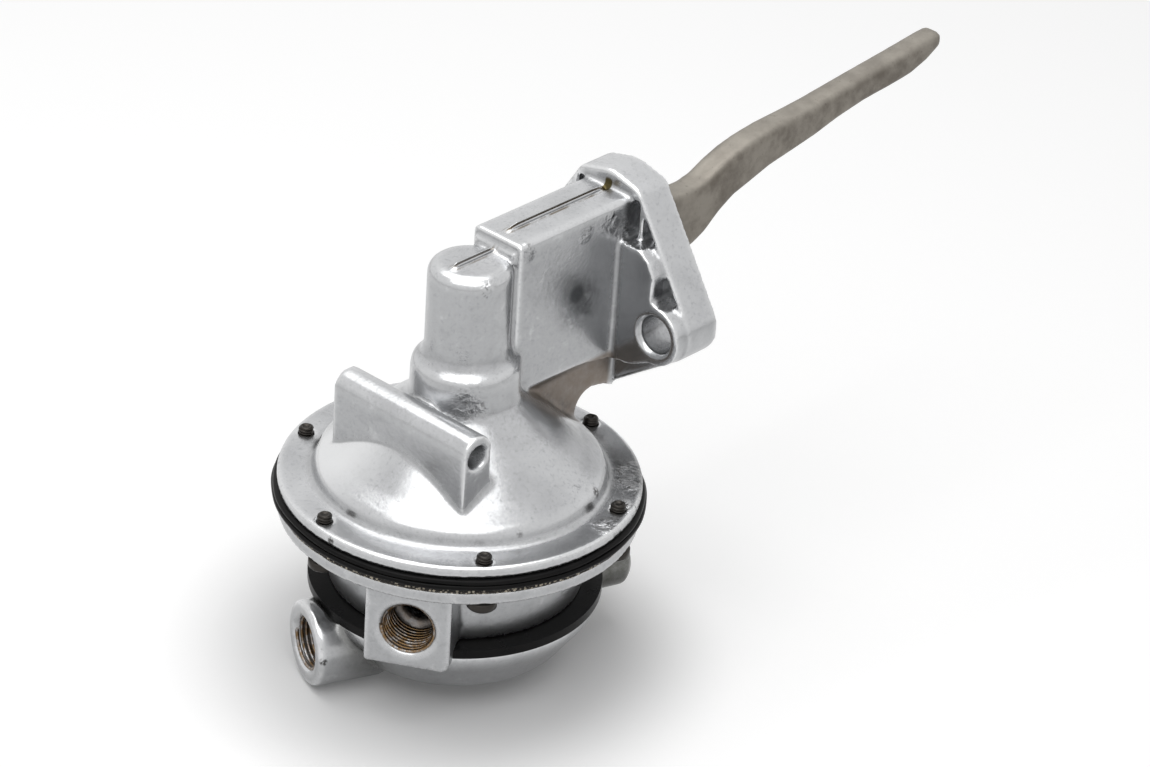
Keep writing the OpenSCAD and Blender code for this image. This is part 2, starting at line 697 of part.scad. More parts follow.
module rocker_arm() {
    heel_half = arm_half - 0.3;
    color([0.5, 0.47, 0.43]) place() difference() {
        union() {
            loft([for (s = arm_stations) arm_section(s)]);
            translate([pivot_x, arm_half, pivot_z]) rotate([90, 0, 0]) cylinder(r = hub_r, h = 2 * arm_half);
            // heel that lifts the link
            translate([0, heel_half, 0]) rotate([90, 0, 0]) linear_extrude(2 * heel_half)
                polygon([[bridge_x, nose_z - 1.3], [pivot_x - 4, nose_z - 1.3],
                         [pivot_x - 4, pivot_z - 7], [pivot_x - 14, pivot_z - 4.5],
                         [bridge_x, pivot_z - 2]]);
        }
        translate([pivot_x, 20, pivot_z]) rotate([90, 0, 0]) cylinder(r = pin_r + RUN, h = 40);
    }
}

pin_near = 8.2;
pin_far = 10.4;
plug_t = 2;
module pivot_pin() {
    color("lightgray") place() translate([pivot_x, -pin_near, pivot_z]) rotate([-90, 0, 0])
        cylinder(r = pin_r, h = pin_near + pin_far);
}

module pin_plug() {
    color("gray") place() translate([pivot_x, pin_far, pivot_z]) rotate([-90, 0, 0]) difference() {
        cylinder(r = pin_r, h = plug_t);
        translate([0, 0, 0.8]) cylinder(r = pin_r - 1, h = plug_t);
    }
}

module pull_link() {
    slot = rod_r + GAP;
    eye_r = pin_r + 2.5;
    side = [[0, nose_z - nose_r], [0, nose_z + nose_r], [bridge_x + 6, nose_z + nose_r],
            [pivot_x, pivot_z + eye_r], [pivot_x, pivot_z - eye_r], [bridge_x + 4, nose_z - nose_r]];
    color("darkgray") place() difference() {
        union() {
            for (s = [-1, 1]) {
                translate([0, s * (cheek_in + cheek_t / 2) + cheek_t / 2, 0]) rotate([90, 0, 0])
                    linear_extrude(cheek_t) polygon(side);
                translate([pivot_x, s * (cheek_in + cheek_t / 2) + cheek_t / 2, pivot_z]) rotate([90, 0, 0])
                    cylinder(r = eye_r, h = cheek_t);
            }
            // bridge over the heel, and the fork's nose round the rod
            translate([bridge_x - 4, -cheek_in - 0.5, nose_z - 1]) cube([8, 2 * cheek_in + 1, nose_r + 1]);
            translate([0, cheek_in + cheek_t, nose_z]) rotate([90, 0, 0])
                cylinder(r = nose_r, h = 2 * (cheek_in + cheek_t), $fn = 48);
            translate([0, -cheek_in - 0.5, nose_z - nose_r])
                cube([bridge_x - 4 + EPS, 2 * cheek_in + 1, 2 * nose_r]);
        }
        hull() {
            translate([0, 0, nose_z - 5]) cylinder(r = slot, h = 10, $fn = 32);
            translate([-8, 0, nose_z - 5]) cylinder(r = slot, h = 10, $fn = 32);
        }
        translate([pivot_x, 20, pivot_z]) rotate([90, 0, 0]) cylinder(r = pin_r + RUN, h = 40);
    }
}

module pull_rod() {
    shoulder_r = 4.2;
    top = mid_top + sheet_t;
    color("lightgray") place() {
        translate([0, 0, mid_foot - sheet_t - nut_t - 0.6])
            cylinder(r = rod_r, h = head_z + head_t - mid_foot + sheet_t + nut_t + 0.6);
        translate([0, 0, head_z]) cylinder(r = head_r, h = head_t);
        translate([0, 0, top + SEAT]) cylinder(r = shoulder_r, h = 2);
    }
}

module upper_plate() {
    color("silver") place() rotate_extrude() polygon([
        [rod_r + SEAT, mid_top], [plate_r - 1.5, mid_top], [plate_r, mid_top + 1.2],
        [plate_r - 0.6, mid_top + 2.2], [plate_r - 2.1, mid_top + sheet_t], [rod_r + SEAT, mid_top + sheet_t]]);
}

module lower_plate() {
    r = plate_r - 2;
    color("silver") place() rotate_extrude() polygon([
        [rod_r + SEAT, mid_foot], [r - 1.5, mid_foot], [r, mid_foot - 1],
        [r - 0.6, mid_foot - 2], [r - 2.1, mid_foot - sheet_t], [rod_r + SEAT, mid_foot - sheet_t]]);
}

module rod_nut() {
    color("dimgray") place() translate([0, 0, mid_foot - sheet_t - nut_t]) difference() {
        cylinder(r = nut_r, h = nut_t, $fn = 6);
        translate([0, 0, -1]) cylinder(r = rod_r + SEAT, h = nut_t + 2);
    }
}

module diaphragm_spring() {
    color("slategray") place() coil(spring_r, spring_wire, mid_top + sheet_t + SEAT,
        seat_z - retainer_t - SEAT, spring_turns);
}

module return_spring() {
    color("slategray") place() translate([return_x, 0, 0])
        coil(return_r, return_wire, cavity_floor + SEAT, return_top - SEAT, 4);
}

module rod_seal() {
    color("black") place() ring(seal_r - SEAT, rod_r + RUN, seat_z + seal_t, seal_t);
}

retainer_t = 1;
module seal_retainer() {
    color("silver") place() ring(spring_r + spring_wire + 0.3, rod_r + GAP, seat_z, retainer_t);
}

// Valves, drawn opening upwards with their seat's foot at height 0
cage_floor = 1.4;                   // plate that the disc rests on
cage_rim = 1.2;
disc_t = 1;
stem_r = 1;
valve_coil_r = 2.1;
valve_wire = 0.3;
spring_room = 1.4;                  // height of the valve spring when the disc is fully up
stem_top = cage_floor + disc_t + valve_lift + spring_room;
cage_t = stem_top + 1;
module valve_seat() {
    difference() {
        cylinder(r = valve_r, h = cage_t);
        translate([0, 0, cage_floor]) cylinder(r = valve_r - cage_rim, h = cage_t);
        for (k = [0:5])
            rotate([0, 0, 60 * k]) translate([3.6, 0, -1]) cylinder(r = 1.3, h = 4, $fn = 24);
        translate([0, 0, -1]) cylinder(r = stem_r + SEAT, h = 4, $fn = 24);
    }
}

module valve_disc() {
    translate([0, 0, cage_floor + SEAT]) difference() {
        cylinder(r = 5.8, h = disc_t);
        translate([0, 0, -1]) cylinder(r = stem_r + GAP, h = 3, $fn = 24);
    }
}

module valve_spring() {
    coil(valve_coil_r, valve_wire, cage_floor + disc_t + 2 * SEAT, stem_top - SEAT, 4);
}

module valve_stem() {
    cylinder(r = stem_r, h = stem_top, $fn = 24);
    translate([0, 0, stem_top]) cylinder(r = 2.8, h = 0.9, $fn = 32);
}

module inlet_valve() {
    place() at_angle(inlet_valve_at, valve_out, 0, -deck_z - deck_t) children();
}

module outlet_valve() {
    place() at_angle(outlet_valve_at, valve_out, 0, -deck_z) mirror([0, 0, 1]) children();
}

module inlet_valve_seat() {
    color("khaki") inlet_valve() valve_seat();
}

module inlet_valve_disc() {
    color("black") inlet_valve() valve_disc();
}

module inlet_valve_spring() {
    color("slategray") inlet_valve() valve_spring();
}

module inlet_valve_stem() {
    color("khaki") inlet_valve() valve_stem();
}

module outlet_valve_seat() {
    color("khaki") outlet_valve() valve_seat();
}

module outlet_valve_disc() {
    color("black") outlet_valve() valve_disc();
}

module outlet_valve_spring() {
    color("slategray") outlet_valve() valve_spring();
}

module outlet_valve_stem() {
    color("khaki") outlet_valve() valve_stem();
}

upper_housing();
valve_body();
bottom_cover();
diaphragm_rim();
diaphragm();
rubber_ring();
body_gasket();
pulsator_diaphragm();
body_screws();
cover_bolt();
cover_washer();
rocker_arm();
pivot_pin();
pin_plug();
pull_link();
pull_rod();
upper_plate();
lower_plate();
rod_nut();
diaphragm_spring();
return_spring();
rod_seal();
seal_retainer();
inlet_valve_seat();
inlet_valve_disc();
inlet_valve_spring();
inlet_valve_stem();
outlet_valve_seat();
outlet_valve_disc();
outlet_valve_spring();
outlet_valve_stem();
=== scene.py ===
import math

import bmesh
import bpy
import numpy as np
from mathutils import Matrix, Vector


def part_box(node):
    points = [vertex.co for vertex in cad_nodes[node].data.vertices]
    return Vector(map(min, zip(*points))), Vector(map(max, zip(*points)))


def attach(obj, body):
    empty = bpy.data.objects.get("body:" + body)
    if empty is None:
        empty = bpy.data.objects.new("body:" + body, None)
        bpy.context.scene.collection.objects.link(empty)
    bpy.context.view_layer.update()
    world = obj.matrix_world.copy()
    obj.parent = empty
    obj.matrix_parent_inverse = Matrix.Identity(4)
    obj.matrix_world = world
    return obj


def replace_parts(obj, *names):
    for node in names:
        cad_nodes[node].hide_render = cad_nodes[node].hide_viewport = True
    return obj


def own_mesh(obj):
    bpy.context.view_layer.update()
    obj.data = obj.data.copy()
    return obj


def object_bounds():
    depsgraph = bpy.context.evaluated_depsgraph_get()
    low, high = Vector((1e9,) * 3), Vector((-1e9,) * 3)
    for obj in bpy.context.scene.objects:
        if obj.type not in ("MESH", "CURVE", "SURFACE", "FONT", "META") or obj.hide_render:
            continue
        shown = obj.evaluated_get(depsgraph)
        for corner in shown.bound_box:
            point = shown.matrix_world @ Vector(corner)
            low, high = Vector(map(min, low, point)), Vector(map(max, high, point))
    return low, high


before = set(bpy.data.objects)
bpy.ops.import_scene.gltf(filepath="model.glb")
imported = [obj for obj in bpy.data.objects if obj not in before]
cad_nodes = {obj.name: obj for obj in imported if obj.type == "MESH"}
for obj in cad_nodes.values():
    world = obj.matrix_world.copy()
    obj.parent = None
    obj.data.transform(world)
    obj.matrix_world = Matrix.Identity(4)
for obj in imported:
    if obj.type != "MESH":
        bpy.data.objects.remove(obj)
cad_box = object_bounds()
MM = 0.001


# Upper housing: one aluminium die casting with the dome, the cross bar, the neck, the arm
# housing and the engine flange. It was tumbled bright after casting, which rounds every
# edge, while corners that the tumbling stones can't reach keep a rough and pitted skin.
FLANGE_T = 3.5 * MM
stack_low, stack_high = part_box("diaphragm_rim")
AXIS_X = (stack_low.x + stack_high.x) / 2
FLANGE_TOP = stack_high.z + FLANGE_T


def at(x, y, z):
    """Point given in mm from the pump's axis, at the height of the round flange's top face."""
    return Vector((AXIS_X + x * MM, y * MM, FLANGE_TOP + z * MM))


def new_piece(name, mesh):
    piece = bpy.data.objects.new(name, mesh)
    bpy.context.scene.collection.objects.link(piece)
    return piece


def evaluated_mesh(piece):
    """The piece's mesh with its modifiers in it."""
    graph = bpy.context.evaluated_depsgraph_get()
    return bpy.data.meshes.new_from_object(piece.evaluated_get(graph))


def merged_copy(node):
    """Copy of a CAD node's mesh, with its loose triangles joined."""
    mesh = cad_nodes[node].data.copy()
    mesh.materials.clear()
    work = bmesh.new()
    work.from_mesh(mesh)
    bmesh.ops.remove_doubles(work, verts=work.verts, dist=1e-6)
    work.to_mesh(mesh)
    work.free()
    return mesh


def pull_to_neighbours(points, edges, rounds, strength=0.5):
    """Moves each point towards the mean of its neighbours."""
    first, second = edges[:, 0], edges[:, 1]
    count = np.bincount(first, minlength=len(points)) + np.bincount(second, minlength=len(points))
    for _ in range(rounds):
        mean = np.empty_like(points)
        for axis in range(3):
            total = np.bincount(first, weights=points[second, axis], minlength=len(points))
            total += np.bincount(second, weights=points[first, axis], minlength=len(points))
            mean[:, axis] = total / count
        points = points + strength * (mean - points)
    return points


def cast_copy(node, voxel, fillet_rounds, edge_share, open_skin=None, kept=1.0):
    """Stands in for a CAD node with a casting's fillets: hollow corners fill more than edges wear.

    The mesh keeps how far each point lies on an edge or in a corner, as "worn" and "sunk".
    open_skin takes the points in mm from the pump's axis, and says how far each may take a fillet.
    kept is the share of the triangles that stay.
    """
    piece = new_piece(node + "_cast", merged_copy(node))
    remesh = piece.modifiers.new("Skin", "REMESH")
    remesh.mode = "VOXEL"
    remesh.voxel_size = voxel
    mesh = evaluated_mesh(piece)
    piece.modifiers.remove(remesh)
    piece.data = mesh
    points = np.empty(len(mesh.vertices) * 3)
    mesh.vertices.foreach_get("co", points)
    points = points.reshape(-1, 3)
    edges = np.empty(len(mesh.edges) * 2, dtype=np.int64)
    mesh.edges.foreach_get("vertices", edges)
    edges = edges.reshape(-1, 2)
    start = pull_to_neighbours(points, edges, 1)
    mesh.vertices.foreach_set("co", start.ravel())
    mesh.update()
    outward = np.array([v.normal for v in mesh.vertices])
    move = pull_to_neighbours(start, edges, fillet_rounds) - start
    lean = (move * outward).sum(1) / MM
    share = np.where(lean > 0, 1.0, edge_share)
    # The edge value later carries a painted highlight on edges, and the corner value painted shade in corners.
    for kind, amount in (("worn", -lean), ("sunk", lean)):
        layer = mesh.attributes.new(kind, "FLOAT", "POINT")
        layer.data.foreach_set("value", np.clip(amount / 0.3, 0, 1).astype(np.float32))
    if open_skin is not None:
        from_axis = (start - np.array(at(0, 0, 0))) / MM
        share = share * open_skin(from_axis)
    points = pull_to_neighbours(start + move * share[:, None], edges, 1)
    mesh.vertices.foreach_set("co", points.ravel())
    mesh.update()
    if kept < 1:
        fewer = piece.modifiers.new("Fewer", "DECIMATE")
        fewer.ratio = kept
        mesh = evaluated_mesh(piece)
        piece.modifiers.remove(fewer)
        piece.data = mesh
    for face in mesh.polygons:
        face.use_smooth = True
    return piece


class Sock:
    """A shader socket, or a number, in written maths. Each operator adds its Math node."""

    def __init__(self, paint, value):
        self.paint = paint
        self.value = value

    def maths(self, operation, *others, clamp=False):
        settings = {"operation": operation, "use_clamp": clamp}
        values = {i: v for i, v in enumerate((self, *others))}
        return self.paint.add("ShaderNodeMath", settings, values)

    def __add__(self, other):
        return self.maths("ADD", other)

    __radd__ = __add__

    def __sub__(self, other):
        return self.maths("SUBTRACT", other)

    def __rsub__(self, other):
        return Sock(self.paint, other).maths("SUBTRACT", self)

    def __mul__(self, other):
        return self.maths("MULTIPLY", other)

    __rmul__ = __mul__

    def __truediv__(self, other):
        return self.maths("DIVIDE", other)

    def __pow__(self, other):
        return self.maths("POWER", other)

    def over(self, low, high):
        """0 below low, 1 above high, and a soft step between."""
        settings = {"interpolation_type": "SMOOTHSTEP"}
        return self.paint.add("ShaderNodeMapRange", settings, {0: self, 1: low, 2: high})

    def most(self, other):
        return self.maths("MAXIMUM", other)

    def least(self, other):
        return self.maths("MINIMUM", other)

    def size(self):
        return self.maths("ABSOLUTE")


class Nodes:
    """A node tree that sockets and numbers are put into."""

    def __init__(self, tree):
        self.tree = tree

    def put(self, socket, value):
        if isinstance(value, Sock):
            value = value.value
        if isinstance(value, bpy.types.NodeSocket):
            self.tree.links.new(value, socket)
        else:
            socket.default_value = value

    def add(self, kind, settings, sockets, out=0):
        """Adds a node of any type and gives one of its outputs."""
        node = self.tree.nodes.new(kind)
        for name, value in settings.items():
            if name == "stops":
                ramp = node.color_ramp.elements
                while len(ramp) < len(value):
                    ramp.new(0.5)
                for element, (place, colour) in zip(ramp, value):
                    element.position = place
                    element.color = (*colour, 1)
            else:
                setattr(node, name, value)
        for name, value in sockets.items():
            self.put(node.inputs[name], value)
        return Sock(self, node.outputs[out])


class Paint(Nodes):
    """One material, with its shader and the nodes that feed it."""

    def __init__(self, name, **fixed):
        self.material = bpy.data.materials.new(name)
        self.material.use_nodes = True
        super().__init__(self.material.node_tree)
        self.shader = self.tree.nodes["Principled BSDF"]
        for socket, value in fixed.items():
            self.shader.inputs[socket.replace("_", " ")].default_value = value
        self.where = self.add("ShaderNodeTexCoord", {}, {}, "Object")

    def feed(self, socket, value):
        self.put(self.shader.inputs[socket], value)

    def noise(self, size_mm, detail=4, rough=0.5, seed=0.0, place=None):
        """Cloudy values about 0.5, with lumps of about that many mm."""
        settings = {"noise_dimensions": "4D"}
        sockets = {"Vector": place or self.where, "Scale": 1 / (size_mm * MM), "Detail": detail,
                   "Roughness": rough, "W": seed}
        return self.add("ShaderNodeTexNoise", settings, sockets)

    def cells(self, size_mm, out="Distance", place=None):
        sockets = {"Vector": place or self.where, "Scale": 1 / (size_mm * MM)}
        return self.add("ShaderNodeTexVoronoi", {}, sockets, out)

    def mix(self, amount, first, second, blend="MIX"):
        colours = [(*c, 1) if isinstance(c, tuple) and len(c) == 3 else c for c in (first, second)]
        settings = {"data_type": "RGBA", "blend_type": blend, "clamp_factor": True}
        return self.add("ShaderNodeMix", settings, {0: amount, 6: colours[0], 7: colours[1]}, 2)

    def kept(self, name):
        """A value that the mesh keeps at its points."""
        return self.add("ShaderNodeAttribute", {"attribute_name": name}, {}, "Fac")

    def near(self, centre, radius_mm, soft_mm=None):
        """1 close to a point in the frame, 0 farther off than the radius."""
        settings = {"operation": "DISTANCE"}
        gap = self.add("ShaderNodeVectorMath", settings, {0: self.where, 1: tuple(centre)}, "Value")
        soft = (soft_mm or radius_mm * 0.5) * MM
        return 1 - gap.over(radius_mm * MM - soft, radius_mm * MM)

    def axes(self):
        """The three Object coordinates, apart."""
        node = self.tree.nodes.new("ShaderNodeSeparateXYZ")
        self.put(node.inputs[0], self.where)
        return [Sock(self, o) for o in node.outputs]

    def facing(self):
        """The three parts of the surface's normal."""
        normal = self.add("ShaderNodeNewGeometry", {}, {}, "Normal")
        node = self.tree.nodes.new("ShaderNodeSeparateXYZ")
        self.put(node.inputs[0], normal)
        return [Sock(self, o) for o in node.outputs]

    def bump(self, height, depth_mm, strength=1.0, under=None):
        sockets = {"Height": height, "Distance": depth_mm * MM, "Strength": strength}
        if under is not None:
            sockets["Normal"] = under
        return self.add("ShaderNodeBump", {}, sockets)

    def on(self, piece, slot=None):
        piece.data.materials.clear()
        piece.data.materials.append(self.material)
        return piece


# Where the tumbling left the casting's skin rough: a point from the axis, and a radius in mm
ROUGH_PLACES = [
    (at(33, -35, 0), 13), (at(22, -44, 0), 9), (at(9, -47, 0), 6), (at(-9, -11, 31), 8), (at(-4, -11, 63.5), 3.5),
    (at(13, -9, 68), 4), (at(51, -10, 61), 6), (at(53, -17, 57), 3.5), (at(54, -20, 44), 3), (at(-13, -5, 24), 6),
    (at(38, 20, 6), 14), (at(9, -34, 5), 5), (at(-12, -8, 44), 5), (at(36, -9.5, 66), 4), (at(46, -9.5, 66), 5),
]
SOOT_MARKS = [(at(15, -36.5, 3.2), 2.2), (at(-19, -34.5, 2.6), 1.4), (at(-15, -36.5, 2.6), 1.8),
              (at(-51, -0.9, -1.6), 1.5), (at(36, -15, 4), 2.4)]
# The dull tone serves for dull patches and for painted shade; the rubbed tone for worn edges, painted highlights and
# painted light.
BRIGHT = (0.56, 0.565, 0.575)
DULL_AND_SHADE = (0.27, 0.275, 0.282)
RUBBED_HIGHLIGHT = (0.8, 0.805, 0.81)
SOOT = (0.035, 0.032, 0.03)


def cast_aluminium(name, rough_places, marks=(), roughness=0.17):
    """Tumbled aluminium: satin and finely dented, worn bright on its edges under a painted highlight, with
    painted shade on its walls and in its corners, and hammered rough in the rough places."""
    paint = Paint(name, Metallic=0.93, IOR=1.5)
    clouds = paint.noise(22, detail=6, rough=0.6)
    speckle = paint.noise(1.1, detail=4, rough=0.7, seed=2)
    rough = 0.04 + clouds.over(0.6, 0.9) * 0.2
    for centre, radius in rough_places:
        rough = rough.most(paint.near(centre, radius, radius * 0.8) * paint.noise(3.5, seed=4).over(0.3, 0.7))
    lumps = paint.noise(1.1, detail=3, rough=0.55, seed=7)
    holes = (1 - lumps.over(0.36, 0.47)) * rough
    worn, sunk = paint.kept("worn"), paint.kept("sunk")
    # Walls that face sideways get painted shade, with darker and paler streaks on them as painted reflection.
    wall_shading = 1 - paint.facing()[2].over(0.1, 0.75)
    smears = paint.noise(6, detail=7, rough=0.7, seed=3)
    colour = paint.mix((clouds.over(0.35, 0.75) * 0.45).most(wall_shading * 0.55), BRIGHT, DULL_AND_SHADE)
    colour = paint.mix(smears.over(0.5, 0.66) * (0.1 + wall_shading * 0.25), colour, DULL_AND_SHADE)
    colour = paint.mix((1 - smears.over(0.34, 0.45)) * wall_shading * 0.2, colour, RUBBED_HIGHLIGHT)
    colour = paint.mix(speckle.over(0.5, 0.72) * 0.5, colour, DULL_AND_SHADE)
    # Edges get a painted highlight, on top of their wear.
    colour = paint.mix(worn * speckle.over(0.25, 0.5) * 0.8, colour, RUBBED_HIGHLIGHT)
    # Hollow corners get painted shade, a darker grey, over their rough skin.
    colour = paint.mix(sunk * (0.05 + speckle * 0.5), colour, (0.18, 0.18, 0.175))
    colour = paint.mix(holes * 0.85, colour, (0.08, 0.078, 0.075))
    for centre, radius in marks:
        spot = paint.near(centre, radius) * paint.noise(0.8, seed=9).over(0.4, 0.55)
        colour = paint.mix(spot * 0.9, colour, SOOT)
    paint.colour = colour
    paint.roughness = roughness + speckle * 0.1 + smears * 0.06 + sunk * 0.1 - worn * 0.08
    dents = paint.noise(2.6, detail=2, rough=0.4, seed=1)
    skin = paint.bump(paint.noise(0.45, detail=3, rough=0.6), 0.012)
    skin = paint.bump(dents, 0.05, under=skin)
    paint.skin = paint.bump(lumps * rough, 0.8, under=skin)
    return paint


def close(paint):
    """Joins the paint's colour, roughness and skin to its shader."""
    paint.feed("Base Color", paint.colour)
    paint.feed("Roughness", paint.roughness)
    paint.feed("Normal", paint.skin)
    return paint


def housing_skin(points):
    """Fillets grow on the outside, and not in the bores, the arm's cavity or the dome's hollow."""
    x, y, z = points.T
    out = np.hypot(x, y)
    dome = np.interp(z, [0, 8, 13.4, 18.4, 22, 24, 26], [41.3, 34.5, 29, 23.5, 19.2, 17, 15.4])
    hollow = (z < 27) & (out < dome - 1.6) & (np.abs(y) < 40)
    swing = (np.abs(y) < 7.4) & (z > 30) & (z < 66) & (x > -9.6)
    holes = np.hypot(np.abs(y) - 24.2, z - 34.5) < 6.2
    bar_hole = (np.hypot(x + 20.3, z - 23.5) < 4.4) & (y < -10)
    pin = np.hypot(x - 37, z - 50) < 5
    return np.where(hollow | swing | holes | bar_hole | pin, 0.0, 1.0)


def housing_finish():
    """The housing's colour: brown tone and painted shade under the arm housing, a painted dark reflection on its side
    and on the flange, painted light in the pocket, a painted highlight and painted shade on the dome, soot in the
    slot on top, and the milled face that meets the engine."""
    paint = cast_aluminium("tumbled_housing", ROUGH_PLACES, SOOT_MARKS)
    x, y, z = paint.axes()
    mottle = paint.noise(3, detail=5, rough=0.65, seed=5)
    web_back, web_front = at(15, 0, 0).x, at(54, 0, 0).x
    # Under the arm housing: a brown tone and painted shade, mottled.
    under = x.over(web_back, web_back + 3 * MM) * (1 - x.over(web_front - 2 * MM, web_front))
    under = under * (1 - z.over(at(0, 0, 22.6).z, at(0, 0, 24.6).z)) * z.over(at(0, 0, 3).z, at(0, 0, 7).z)
    under = under * (1 - (y.size() - 9.5 * MM).over(0, 2 * MM))
    colour = paint.mix(under * (0.55 + mottle * 0.6), paint.colour, (0.2, 0.165, 0.135))
    # A painted dark reflection on the arm housing's side, blotchy and darkest in its middle.
    blotch = paint.noise(3, detail=6, rough=0.65, seed=6)
    stain = paint.near(at(35, -9, 45), 12, 10) * blotch.over(0.3, 0.62)
    dark_reflection_core = paint.near(at(34, -9, 47.4), 5, 3.5) * blotch.over(0.25, 0.45)
    colour = paint.mix((stain * 0.7).most(dark_reflection_core * 0.9), colour, (0.11, 0.115, 0.12))
    # Painted light in the pocket by the engine flange, against the shade in its hollow.
    pocket = paint.near(at(60, -19, 48), 7, 4)
    colour = paint.mix(pocket * 0.7, colour, RUBBED_HIGHLIGHT)
    slot = paint.near(at(53.2, 0, 71), 3, 0.8) * (1 - (y.size() - 1.1 * MM).over(0, 0.4 * MM))
    colour = paint.mix(slot, colour, (0.075, 0.06, 0.025))
    along = paint.near(at(33, 0, 70.6), 21, 3).most(paint.near(at(1, 0, 66.4), 9, 2) * 0.7)
    along = along * z.over(at(0, 0, 66).z, at(0, 0, 66.2).z)
    groove = 1 - y.size().over(0.3 * MM, 0.5 * MM)
    foot = (1 - (y.size() - 1.25 * MM).size().over(0.15 * MM, 0.4 * MM)) * mottle.over(0.35, 0.6) * 0.8
    colour = paint.mix(along * groove.most(foot), colour, (0.13, 0.1, 0.065))
    # A painted dark reflection on the round flange's top, at its right.
    dark = paint.near(at(38, -34, 0), 20, 14) * (1 - z.over(0.8 * MM + FLANGE_TOP, 1.6 * MM + FLANGE_TOP))
    colour = paint.mix(dark * 0.6, colour, (0.1, 0.1, 0.1))
    # Streaky dark patches on the dome's right, next to the web.
    strokes = paint.noise(2.5, detail=6, rough=0.7, seed=15).over(0.42, 0.6)
    streaky_dark_patch = paint.near(at(25, -12, 13), 11, 8).most(paint.near(at(33, -9, 8), 7, 5))
    colour = paint.mix(streaky_dark_patch * strokes * 0.75, colour, (0.1, 0.098, 0.095))
    # A painted highlight on the dome's upward slopes at its left.
    lit_slope = paint.facing()[2].over(0.3, 0.6) * z.over(at(0, 0, 1.5).z, at(0, 0, 3.5).z)
    colour = paint.mix(paint.near(at(-23, 20, 6), 26, 18) * lit_slope * 0.85, colour, RUBBED_HIGHLIGHT)
    # Painted shade on the dome's right.
    paint.colour = paint.mix(paint.near(at(27, -22, 6), 19, 13) * 0.5, colour, DULL_AND_SHADE)
    milled = x.over(-0.5 * MM, -0.2 * MM) * paint.facing()[0].over(0.8, 0.95)
    turns = (y * y + z * z) ** 0.5
    ridges = (turns * (1 / (0.35 * MM))).maths("SINE")
    paint.roughness = paint.roughness + under * 0.25 + milled * 0.08 + pocket * 0.25
    paint.skin = paint.bump(ridges * milled, 0.012, under=paint.skin)
    return close(paint)


housing = cast_copy("upper_housing", 0.55 * MM, 11, 0.12, housing_skin, 0.47)
housing_paint = housing_finish()
housing_paint.on(housing, "cast_aluminium")
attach(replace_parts(housing, "upper_housing"), "casing")


def parting_rib(name, start, length, height_mm=1.1, half_mm=0.95):
    """Raised line with a groove in it, that the die's joint leaves along the top."""
    work = bmesh.new()
    stations = [(0, 0.1, 0.3), (0.03, 0.7, 0.8), (0.1, 1, 1), (0.9, 1, 1), (0.97, 0.8, 0.9), (1, 0.1, 0.5)]
    section = [(-1, -0.8), (-0.85, 0.8), (-0.7, 1), (-0.5, 0.95), (-0.25, 0.3),
               (0.25, 0.3), (0.5, 0.95), (0.7, 1), (0.85, 0.8), (1, -0.8)]
    rows = []
    for share, tall, wide in stations:
        row = []
        for across, rise in section:
            step = Vector((share * length, across * half_mm * wide, rise * height_mm * (tall if rise > 0 else 1)))
            row.append(work.verts.new(start + step * MM))
        rows.append(row)
    for here, there in zip(rows, rows[1:]):
        for j in range(len(section)):
            k = (j + 1) % len(section)
            work.faces.new((here[j], here[k], there[k], there[j]))
    work.faces.new(list(reversed(rows[0])))
    work.faces.new(rows[-1])
    bmesh.ops.recalc_face_normals(work, faces=work.faces)
    mesh = bpy.data.meshes.new(name)
    work.to_mesh(mesh)
    work.free()
    piece = housing_paint.on(new_piece(name, mesh), "cast_aluminium")
    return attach(piece, "casing")


NECK_TOP, BOX_TOP = 66.4, 70.6
parting_rib("neck_rib", at(-6.5, 0, NECK_TOP), 15.5)
parting_rib("box_rib", at(14.5, 0, BOX_TOP), 37)


# Diaphragm drive: pull rod, plates, nut, springs and link, all inside the housing. They are
# plain turned and pressed steel, riveted up by the rod's nut.
def plain_metal(name, colour, roughness, streak_mm=2.0):
    """Turned or drawn metal with faint streaks and a little tarnish."""
    paint = Paint(name, Metallic=1.0)
    streaks = paint.noise(streak_mm, detail=5, rough=0.6)
    darker = tuple(c * 0.72 for c in colour)
    paint.feed("Base Color", paint.mix(streaks, darker, colour))
    paint.feed("Roughness", roughness + streaks * 0.15)
    paint.feed("Normal", paint.bump(streaks, 0.02))
    return paint


bright_steel = plain_metal("turned_steel", (0.55, 0.54, 0.52), 0.25)
spring_steel = plain_metal("spring_wire", (0.28, 0.28, 0.29), 0.35, 0.8)
dark_steel = plain_metal("dark_steel", (0.05, 0.046, 0.042), 0.28, 0.8)
valve_brass = plain_metal("valve_brass", (0.62, 0.45, 0.2), 0.3)
copper = plain_metal("copper_washer", (0.6, 0.3, 0.18), 0.35)
for node in ("pull_rod", "upper_plate", "lower_plate", "pull_link", "pivot_pin", "seal_retainer", "pin_plug"):
    bright_steel.on(cad_nodes[node])
for node in ("inlet_valve_seat", "inlet_valve_stem", "outlet_valve_seat", "outlet_valve_stem"):
    valve_brass.on(cad_nodes[node])
dark_steel.on(cad_nodes["rod_nut"])
dark_steel.on(cad_nodes["cover_bolt"])
copper.on(cad_nodes["cover_washer"])


def giving(node):
    """A copy of a CAD node's shape, standing in its place."""
    piece = new_piece(node + "_giving", cad_nodes[node].data.copy())
    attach(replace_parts(piece, node), "casing")
    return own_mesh(piece)


for node, joint, stroke_mm, fixed_low in (
        ("diaphragm_spring", "rod_slide", 3.3, False), ("return_spring", "rocker_hinge", 1.5, True),
        ("inlet_valve_spring", "inlet_valve_slide", 1.2, False),
        ("outlet_valve_spring", "outlet_valve_slide", 1.2, True)):
    spring_steel.on(giving(node), "spring_steel")


